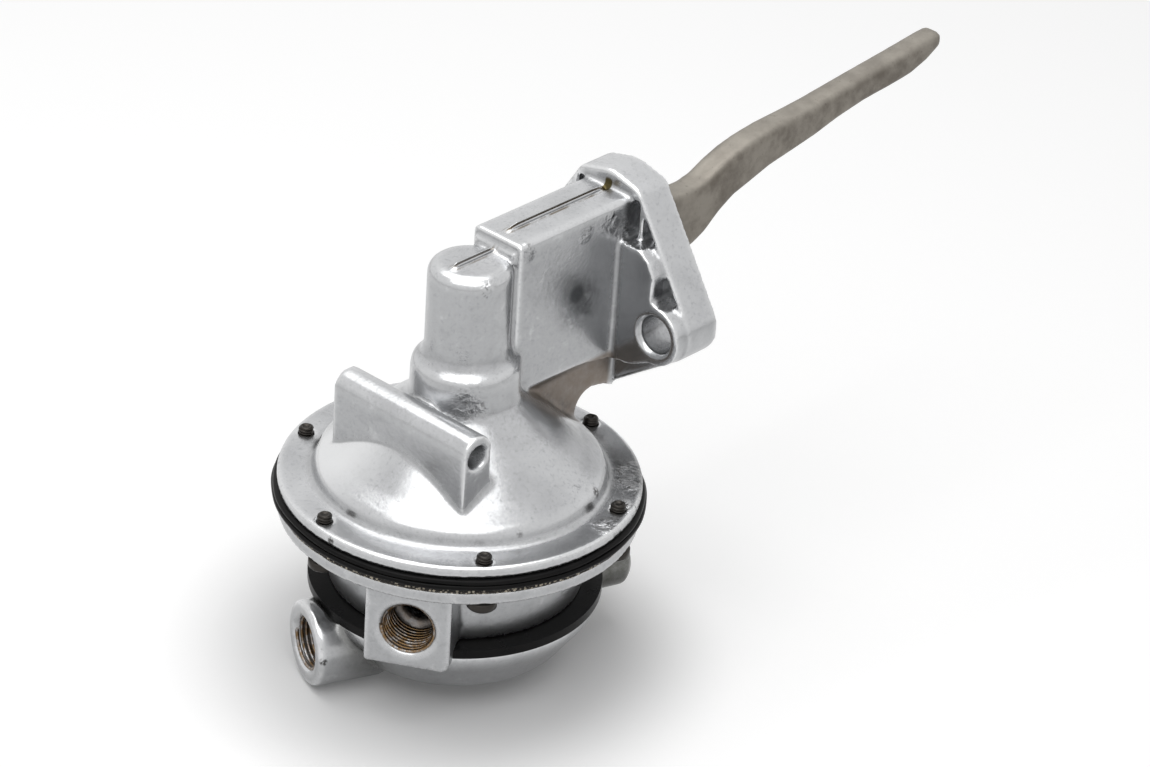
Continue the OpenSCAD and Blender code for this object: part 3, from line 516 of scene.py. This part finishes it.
# Rubber: the diaphragm's rim, a second ring under it, and the pulsator's edge under the
# valve body. Each is squeezed between castings; the rim and the ring are drawn with a bulging, slightly wavy edge.
def rubber(name):
    paint = Paint(name, Metallic=0.0, IOR=1.4, Specular_IOR_Level=0.12)
    smear = paint.noise(5, detail=5)
    paint.feed("Base Color", paint.mix(smear, (0.003, 0.003, 0.0035), (0.012, 0.0115, 0.011)))
    paint.feed("Roughness", 0.18 + smear * 0.25)
    paint.feed("Normal", paint.bump(paint.noise(0.8, detail=3), 0.03))
    return paint


black_rubber = rubber("black_rubber")


def squeezed_ring(node, inner_mm, wave_mm, lobes, seed):
    """Ring in a CAD node's place, with a rounded edge that swells and shrinks a little."""
    low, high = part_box(node)
    outer = (high.x - low.x) / 2
    middle = Vector(((low.x + high.x) / 2, (low.y + high.y) / 2, 0))
    inner = inner_mm * MM
    thick = high.z - low.z
    turns, round_steps = 240, 8
    work = bmesh.new()
    rings = []
    for i in range(turns):
        a = 2 * math.pi * i / turns
        wave = sum(math.sin(k * a + seed * k) / len(lobes) for k in lobes)
        edge = outer - wave_mm * MM * (0.5 - 0.5 * wave)
        bulge = thick * 0.42
        section = [(inner, low.z)]
        for j in range(round_steps + 1):
            b = -math.pi / 2 + math.pi * j / round_steps
            section.append((edge - bulge + bulge * math.cos(b), (low.z + high.z) / 2 + thick / 2 * math.sin(b)))
        section.append((inner, high.z))
        rings.append([work.verts.new(middle + Vector((r * math.cos(a), r * math.sin(a), z))) for r, z in section])
    for i in range(turns):
        here, there = rings[i], rings[(i + 1) % turns]
        for j in range(len(here)):
            k = (j + 1) % len(here)
            work.faces.new((here[j], there[j], there[k], here[k]))
    bmesh.ops.recalc_face_normals(work, faces=work.faces)
    mesh = bpy.data.meshes.new(node + "_ring")
    work.to_mesh(mesh)
    work.free()
    for face in mesh.polygons:
        face.use_smooth = True
    piece = new_piece(node + "_ring", mesh)
    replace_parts(piece, node)
    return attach(piece, "casing")


CHAMBER_R = 38.4
for node, lobes, seed in (("diaphragm_rim", (3, 7, 13), 0.4), ("rubber_ring", (2, 5, 17), 1.9)):
    black_rubber.on(squeezed_ring(node, CHAMBER_R, 0.5, lobes, seed), "black_rubber")
for node in ("rod_seal", "inlet_valve_disc", "outlet_valve_disc", "pulsator_diaphragm"):
    black_rubber.on(cad_nodes[node])
black_rubber.on(giving("diaphragm"), "black_rubber")


# Body gasket: woven fibre sheet, cut to the flange. Its dark edge shows the pale ends of
# its threads, and some of them fray.
class Shape(Nodes):
    """A Geometry Nodes tree whose sizes are named inputs."""

    def __init__(self, name, **kinds):
        super().__init__(bpy.data.node_groups.new(name, "GeometryNodeTree"))
        self.tree.interface.new_socket(name="Base", in_out="INPUT", socket_type="NodeSocketGeometry")
        for size, kind in kinds.items():
            self.tree.interface.new_socket(name=size, in_out="INPUT", socket_type="NodeSocket" + kind)
        self.tree.interface.new_socket(name="Made", in_out="OUTPUT", socket_type="NodeSocketGeometry")
        self.given = self.tree.nodes.new("NodeGroupInput")

    def size(self, name):
        return Sock(self, self.given.outputs[name])

    def finish(self, made, material):
        whole = self.add("GeometryNodeRealizeInstances", {}, {0: made})
        whole = self.add("GeometryNodeSetMaterial", {}, {0: whole, "Material": material})
        self.put(self.tree.nodes.new("NodeGroupOutput").inputs[0], whole)

    def build(self, name, base=None, **values):
        """A plain mesh made by the tree with these values."""
        carrier = new_piece(name, base or bpy.data.meshes.new(name + "_base"))
        modifier = carrier.modifiers.new("Shape", "NODES")
        modifier.node_group = self.tree
        places = {item.name: item.identifier for item in self.tree.interface.items_tree}
        for size, value in values.items():
            modifier[places[size]] = value
        mesh = evaluated_mesh(carrier)
        carrier.modifiers.remove(modifier)
        carrier.data = mesh
        return carrier


def woven_fibre():
    paint = Paint("woven_fibre", Metallic=0.0)
    ends = 1 - paint.cells(0.95).over(0.3, 0.5)
    thread = paint.noise(0.5, detail=2, rough=0.7)
    soot = paint.noise(9, detail=4)
    colour = paint.mix(ends * thread.over(0.28, 0.42), (0.022, 0.019, 0.017), (0.66, 0.59, 0.47))
    paint.feed("Base Color", paint.mix(soot.over(0.6, 0.75) * 0.7, colour, (0.02, 0.018, 0.016)))
    paint.feed("Roughness", 0.85)
    paint.feed("Normal", paint.bump(ends, 0.25))
    return paint


fibre_paint = woven_fibre()
gasket = squeezed_ring("body_gasket", CHAMBER_R, 0.4, (5, 23, 41), 0.7)
fibre_paint.on(gasket, "woven_gasket")

loose_thread = Paint("loose_thread", Metallic=0.0, Roughness=0.9)
loose_thread.feed("Base Color", loose_thread.mix(loose_thread.noise(2), (0.12, 0.1, 0.08), (0.6, 0.54, 0.44)))
fray = Shape("fraying", Per_Area="Float", Thickness="Float")
spots = fray.tree.nodes.new("GeometryNodeDistributePointsOnFaces")
fray.put(spots.inputs["Mesh"], fray.size("Base"))
fray.put(spots.inputs["Density"], fray.size("Per_Area"))
fray.put(spots.inputs["Seed"], 11)
stub = fray.add("GeometryNodeMeshCone", {}, {"Vertices": 4, "Radius Top": 0.2, "Radius Bottom": 1.0, "Depth": 6.0},
                "Mesh")
size = fray.add("FunctionNodeRandomValue", {"data_type": "FLOAT"}, {2: 0.35, 3: 1.0, "Seed": 5}, 1)
tilt = fray.add("FunctionNodeRandomValue", {"data_type": "FLOAT_VECTOR"},
                {0: (-0.9, -0.9, -3), 1: (0.9, 0.9, 3), "Seed": 8}, 0)
turn = fray.add("FunctionNodeRotateRotation", {"rotation_space": "LOCAL"},
                {0: Sock(fray, spots.outputs["Rotation"]), 1: tilt})
threads = fray.add("GeometryNodeInstanceOnPoints", {}, {
    "Points": Sock(fray, spots.outputs["Points"]), "Instance": stub, "Rotation": turn,
    "Scale": size * fray.size("Thickness")})
fray.finish(threads, loose_thread.material)
edge_faces = bmesh.new()
edge_faces.from_mesh(gasket.data)
inner_faces = [f for f in edge_faces.faces
               if math.hypot(f.calc_center_median().x - AXIS_X, f.calc_center_median().y) < 50.6 * MM]
bmesh.ops.delete(edge_faces, geom=inner_faces, context="FACES")
edge_mesh = bpy.data.meshes.new("gasket_edge")
edge_faces.to_mesh(edge_mesh)
edge_faces.free()
frayed = fray.build("gasket_fray", edge_mesh, Per_Area=2.2e6, Thickness=0.07 * MM)
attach(frayed, "casing")


# Valve body: aluminium casting between the two diaphragms, with the square outlet boss
# whose port is tapped for a pipe fitting.
def valve_skin(points):
    """Fillets grow on the outside only."""
    x, y, z = points.T
    out = np.hypot(x, y)
    outlet = math.radians(210)
    across = -x * math.sin(outlet) + y * math.cos(outlet) + 2
    port = np.hypot(across, z + 25) < 9.2
    return np.where((out < 34.5) | port, 0.0, 1.0)


OUTLET_AT, OUTLET_REACH, OUTLET_SHIFT, OUTLET_Z = 210, 46, -2, -25
PORT_R = 7.35


def port_place(heading, out, shift, z):
    a = math.radians(heading)
    return at(out * math.cos(a) - shift * math.sin(a), out * math.sin(a) + shift * math.cos(a), z)


def port_finish(paint, heading, reach, shift, z):
    """Adds the brown stain of old fuel inside a port, and painted shade deeper in its bore."""
    mouth = port_place(heading, reach, shift, z)
    inside = port_place(heading, reach - 9, shift, z)
    stain = paint.noise(2.2, detail=5, rough=0.65, seed=12)
    depth = paint.near(inside, 9.6, 3.5) * (1 - paint.near(mouth, 2))
    colour = paint.mix(depth * stain.over(0.3, 0.62), paint.colour, (0.17, 0.105, 0.05))
    # Deeper in the bore, between the stains, painted shade.
    paint.colour = paint.mix(depth * (1 - stain.over(0.35, 0.5)) * 0.7, colour, (0.05, 0.042, 0.038))
    paint.roughness = paint.roughness + depth * 0.25


valve_body = cast_copy("valve_body", 0.7 * MM, 4, 0.35, valve_skin)
valve_paint = cast_aluminium("cast_valve_body", [(at(10, -37, -20), 9), (at(-42, -12, -30), 5)],
                             [(at(14, -35, -26), 1.5), (at(-36, -24, -34), 3)], 0.22)
port_finish(valve_paint, OUTLET_AT, OUTLET_REACH, OUTLET_SHIFT, OUTLET_Z)
close(valve_paint).on(valve_body, "machined_aluminium")
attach(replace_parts(valve_body, "valve_body"), "casing")

# The pipe thread's ridges, wound from the mouth inwards
thread_paint = cast_aluminium("port_thread", [], [], 0.26)
thread_stain = thread_paint.noise(2.2, detail=5, rough=0.65, seed=12)
thread_paint.colour = thread_paint.mix(thread_stain.over(0.34, 0.56), thread_paint.colour, (0.2, 0.125, 0.06))
close(thread_paint)
winding = Shape("winding", Turns="Float", Pitch="Float", Radius="Float", Far_Radius="Float", Ridge="Float")
line = winding.add("GeometryNodeCurveSpiral", {}, {
    "Resolution": 48, "Rotations": winding.size("Turns"), "Start Radius": winding.size("Radius"),
    "End Radius": winding.size("Far_Radius"), "Height": winding.size("Turns") * winding.size("Pitch")})
ridge = winding.add("GeometryNodeCurvePrimitiveCircle", {"mode": "RADIUS"}, {
    "Resolution": 4, "Radius": winding.size("Ridge")}, "Curve")
swept = winding.add("GeometryNodeCurveToMesh", {}, {"Curve": line, "Profile Curve": ridge, "Fill Caps": True})
winding.finish(swept, thread_paint.material)


def port_thread(name, heading, reach, shift, z):
    turns = 8.5
    piece = winding.build(name, Turns=turns, Pitch=1.35 * MM, Radius=(PORT_R + 0.15) * MM,
                          Far_Radius=(PORT_R + 0.05) * MM, Ridge=0.62 * MM)
    inwards = -Vector((math.cos(math.radians(heading)), math.sin(math.radians(heading)), 0))
    turn = inwards.to_track_quat("Z", "Y").to_matrix().to_4x4()
    piece.data.transform(Matrix.Translation(port_place(heading, reach - 0.9, shift, z)) @ turn)
    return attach(piece, "casing")


port_thread("outlet_thread", OUTLET_AT, OUTLET_REACH, OUTLET_SHIFT, OUTLET_Z)


# Bottom cover: a smooth aluminium pan with the round inlet boss, held by one bolt from below.
def cover_skin(points):
    x, y, z = points.T
    out = np.hypot(x, y)
    inlet = math.radians(157)
    across = -x * math.sin(inlet) + y * math.cos(inlet) - 3
    port = np.hypot(across, z + 46) < 9.2
    hollow = (out < 33.5) & (z > -50)
    bolt = out < 5
    return np.where(port | hollow | bolt, 0.0, 1.0)


INLET_AT, INLET_REACH, INLET_SHIFT, INLET_Z = 157, 46.4, 3, -46
cover = cast_copy("bottom_cover", 0.7 * MM, 8, 0.5, cover_skin)
cover_paint = cast_aluminium("cast_cover", [(at(-37, 10, -52), 6), (at(50, -18, -40), 7)],
                             [(at(-47.6, 3.6, -44.9), 1.5)], 0.17)
port_finish(cover_paint, INLET_AT, INLET_REACH, INLET_SHIFT, INLET_Z)
# Painted shade, mottled, on the closed boss and around the inlet's root and side.
shaded_places = cover_paint.near(port_place(-20, 46, 0, -40), 16, 7).most(cover_paint.near(at(-28, 2, -42), 17, 11))
shaded_places = shaded_places.most(cover_paint.near(port_place(INLET_AT, 30, INLET_SHIFT, INLET_Z + 4), 19, 8))
cover_shade = shaded_places * (0.5 + cover_paint.noise(2.5, detail=6, rough=0.7, seed=21) * 0.8)
cover_paint.colour = cover_paint.mix(cover_shade, cover_paint.colour, (0.11, 0.11, 0.1))
close(cover_paint).on(cover, "cast_aluminium")
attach(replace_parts(cover, "bottom_cover"), "casing")
port_thread("inlet_thread", INLET_AT, INLET_REACH, INLET_SHIFT, INLET_Z)


# Body screws: six dark steel screws put in from below, so that their thread ends stand out
# of the upper flange. Each has a round head, its hollow hexagon drawn as a round hollow.
SCREW_CIRCLE, SCREW_AT, SCREW_COUNT = 46.9, 52.4, 6
SCREW_R, SCREW_STAND, SCREW_HEAD_R, SCREW_HEAD_T = 2.2, 2.0, 4.2, 2.6
screw_foot = (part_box("body_screws")[0].z - FLANGE_TOP) / MM + SCREW_HEAD_T


def turned(name, profile, sides):
    """Closed solid of revolution about Z from (radius, height) points in mm, from foot to top."""
    work = bmesh.new()
    rows = []
    for radius, height in profile:
        rows.append([work.verts.new((radius * MM * math.cos(2 * math.pi * i / sides),
                                     radius * MM * math.sin(2 * math.pi * i / sides), height * MM))
                     for i in range(sides)])
    for here, there in zip(rows, rows[1:]):
        for i in range(sides):
            k = (i + 1) % sides
            work.faces.new((here[i], here[k], there[k], there[i]))
    work.faces.new(list(reversed(rows[0])))
    work.faces.new(rows[-1])
    bmesh.ops.recalc_face_normals(work, faces=work.faces)
    mesh = bpy.data.meshes.new(name)
    work.to_mesh(mesh)
    work.free()
    for face in mesh.polygons:
        face.use_smooth = len(face.vertices) == 4
    return mesh


screw_mesh = turned("screw", [
    (1.5, screw_foot - 1.2), (1.9, screw_foot - SCREW_HEAD_T), (SCREW_HEAD_R - 0.5, screw_foot - SCREW_HEAD_T),
    (SCREW_HEAD_R, screw_foot - SCREW_HEAD_T + 0.5), (SCREW_HEAD_R, screw_foot - 0.2),
    (SCREW_HEAD_R - 0.2, screw_foot), (SCREW_R - 0.5, screw_foot), (SCREW_R - 0.5, SCREW_STAND - 0.3),
    (SCREW_R - 0.7, SCREW_STAND), (SCREW_R - 1.0, SCREW_STAND - 0.05), (SCREW_R - 1.5, SCREW_STAND - 0.45)], 28)
screw_blank = new_piece("screw_blank", screw_mesh)
screws = Shape("screw_ring", Count="Int", Circle="Float", First="Float", Pitch="Float", Radius="Float",
               Start="Float", Blank="Object")
blank = screws.add("GeometryNodeObjectInfo", {"transform_space": "ORIGINAL"}, {"Object": screws.size("Blank")},
                   "Geometry")
line = screws.add("GeometryNodeCurveSpiral", {}, {
    "Resolution": 24, "Rotations": 3.4, "Start Radius": screws.size("Radius"),
    "End Radius": screws.size("Radius"), "Height": screws.size("Pitch") * 3.4})
ridge = screws.add("GeometryNodeCurvePrimitiveCircle", {"mode": "RADIUS"},
                   {"Resolution": 4, "Radius": screws.size("Pitch") * 0.42}, "Curve")
swept = screws.add("GeometryNodeCurveToMesh", {}, {"Curve": line, "Profile Curve": ridge, "Fill Caps": True})
lift = screws.add("ShaderNodeCombineXYZ", {}, {2: screws.size("Start")})
swept = screws.add("GeometryNodeTransform", {}, {"Geometry": swept, "Translation": lift})
joined = screws.tree.nodes.new("GeometryNodeJoinGeometry")
for part in (blank, swept):
    screws.put(joined.inputs[0], part)
ring = screws.add("GeometryNodeMeshCircle", {}, {"Vertices": screws.size("Count"), "Radius": screws.size("Circle")})
spin = screws.add("ShaderNodeCombineXYZ", {}, {2: screws.size("First")})
ring = screws.add("GeometryNodeTransform", {}, {"Geometry": ring, "Rotation": spin})
set_of = screws.add("GeometryNodeInstanceOnPoints", {}, {"Points": ring, "Instance": Sock(screws, joined.outputs[0])})
screws.finish(set_of, dark_steel.material)
body_screws = screws.build(
    "body_screw_set", Count=SCREW_COUNT, Circle=SCREW_CIRCLE * MM, First=math.radians(SCREW_AT),
    Pitch=0.8 * MM, Radius=(SCREW_R - 0.36) * MM, Start=-0.95 * MM, Blank=screw_blank)
bpy.data.objects.remove(screw_blank)
body_screws.data.transform(Matrix.Translation(at(0, 0, 0)))
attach(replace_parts(body_screws, "body_screws"), "casing")


# Rocker arm: a bare steel forging, brown-grey and matt, with a painted highlight on its upward faces.
def bare_forging():
    paint = Paint("bare_forging", Metallic=0.75)
    mottle = paint.noise(9, detail=6, rough=0.62)
    scale = paint.noise(1.4, detail=4, rough=0.65, seed=3)
    up = paint.facing()[2]
    colour = paint.mix(mottle.over(0.35, 0.65), (0.15, 0.132, 0.11), (0.28, 0.257, 0.222))
    # Upward faces get a painted highlight.
    colour = paint.mix(up.over(0.2, 0.9) * 0.45, colour, (0.32, 0.3, 0.265))
    colour = paint.mix(scale.over(0.6, 0.72) * 0.5, colour, (0.1, 0.085, 0.07))
    paint.feed("Base Color", colour)
    paint.feed("Roughness", 0.42 + mottle * 0.2)
    paint.feed("Normal", paint.bump(scale, 0.12))
    return paint


arm = cast_copy("rocker_arm", 0.65 * MM, 8, 0.8)
bare_forging().on(arm, "bare_arm_steel")
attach(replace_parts(arm, "rocker_arm"), "arm")


# Floor, lamps and camera: a white sweep under two large soft lamps. One hangs over the back of
# the pump. The other hangs over the side that the camera sees, and evens out the shadows.
def area_lamp(name, place, target, size, watts):
    lamp = bpy.data.objects.new(name, bpy.data.lights.new(name, "AREA"))
    lamp.data.shape = "RECTANGLE"
    lamp.data.size, lamp.data.size_y = size
    lamp.data.energy = watts
    lamp.location = place
    lamp.rotation_mode = "QUATERNION"
    lamp.rotation_quaternion = (Vector(target) - Vector(place)).to_track_quat("-Z", "Y")
    bpy.context.scene.collection.objects.link(lamp)


def seen_directly(tree):
    """1 for rays from the camera, or off metal or glass."""
    path = tree.nodes.new("ShaderNodeLightPath")
    total = path.outputs["Is Camera Ray"]
    for ray in ("Is Glossy Ray", "Is Transmission Ray"):
        more = tree.nodes.new("ShaderNodeMath")
        more.operation = "MAXIMUM"
        tree.links.new(total, more.inputs[0])
        tree.links.new(path.outputs[ray], more.inputs[1])
        total = more.outputs[0]
    return total


low, high = cad_box
middle = (low + high) / 2
FLOOR_HALF = 3.0
floor_mesh = bpy.data.meshes.new("floor")
floor_mesh.from_pydata(
    [(sx * FLOOR_HALF, sy * FLOOR_HALF, low.z - 0.0002) for sx, sy in ((-1, -1), (1, -1), (1, 1), (-1, 1))],
    [], [(0, 1, 2, 3)])
floor = new_piece("floor", floor_mesh)
sweep = bpy.data.materials.new("white_sweep")
sweep.use_nodes = True
tree = sweep.node_tree
tree.nodes.clear()
matt = tree.nodes.new("ShaderNodeBsdfDiffuse")
matt.inputs["Color"].default_value = (0.8, 0.8, 0.8, 1)
glow = tree.nodes.new("ShaderNodeEmission")
glow.inputs["Color"].default_value = (1, 1, 1, 1)
amount = tree.nodes.new("ShaderNodeMath")
amount.operation = "MULTIPLY"
tree.links.new(seen_directly(tree), amount.inputs[0])
# The sweep glows less close to the pump, a painted shadow around its foot, and white farther off.
floor_shadow_ramp = tree.nodes.new("ShaderNodeMapRange")
floor_shadow_ramp.interpolation_type = "SMOOTHSTEP"
spot = tree.nodes.new("ShaderNodeVectorMath")
spot.operation = "DISTANCE"
tree.links.new(tree.nodes.new("ShaderNodeTexCoord").outputs["Object"], spot.inputs[0])
spot.inputs[1].default_value = at(-6, 1, 0)
tree.links.new(spot.outputs["Value"], floor_shadow_ramp.inputs[0])
for socket, value in zip((1, 2, 3, 4), (0.07, 0.106, 0.07, 0.34)):
    floor_shadow_ramp.inputs[socket].default_value = value
tree.links.new(floor_shadow_ramp.outputs[0], amount.inputs[1])
tree.links.new(amount.outputs[0], glow.inputs["Strength"])
both = tree.nodes.new("ShaderNodeAddShader")
tree.links.new(matt.outputs[0], both.inputs[0])
tree.links.new(glow.outputs[0], both.inputs[1])
out = tree.nodes.new("ShaderNodeOutputMaterial")
tree.links.new(both.outputs[0], out.inputs["Surface"])
floor_mesh.materials.append(sweep)

world = bpy.data.worlds.new("studio")
bpy.context.scene.world = world
world.use_nodes = True
tree = world.node_tree
background = tree.nodes["Background"]
background.inputs["Color"].default_value = (1, 1, 1, 1)
level = tree.nodes.new("ShaderNodeMapRange")
tree.links.new(seen_directly(tree), level.inputs[0])
level.inputs[3].default_value = 0.25
level.inputs[4].default_value = 1.0
tree.links.new(level.outputs[0], background.inputs["Strength"])

area_lamp("overhead", middle + Vector((0.02, 0.25, 1.0)), middle, (0.9, 0.9), 5.0)
area_lamp("front", middle + Vector((-0.5, -0.26, 0.98)), middle, (1.3, 0.9), 5.9)

IMAGE_W = 1150
HEADING = math.radians(48.538)
ELEVATION = math.radians(30.129)
ROLL = math.radians(3.724)
FOCAL_PX = 4597.4
DISTANCE = 1.2797
AIM = Vector((-0.0366, -0.0140, -0.0119))
level_right = Vector((math.cos(HEADING), -math.sin(HEADING), 0))
level_ahead = Vector((math.sin(HEADING), math.cos(HEADING), 0))
ahead = level_ahead * math.cos(ELEVATION) - Vector((0, 0, math.sin(ELEVATION)))
level_up = level_ahead * math.sin(ELEVATION) + Vector((0, 0, math.cos(ELEVATION)))
right = level_right * math.cos(ROLL) + level_up * math.sin(ROLL)
up = level_up * math.cos(ROLL) - level_right * math.sin(ROLL)
camera = bpy.data.objects.new("camera", bpy.data.cameras.new("camera"))
bpy.context.scene.collection.objects.link(camera)
camera.data.sensor_width = 36
camera.data.lens = FOCAL_PX / IMAGE_W * 36
place = AIM - ahead * DISTANCE
camera.matrix_world = Matrix.Translation(place) @ Matrix((right, up, -ahead)).transposed().to_4x4()
camera.data.clip_end = 20
bpy.context.scene.camera = camera
bpy.context.scene.view_settings.view_transform = "Standard"
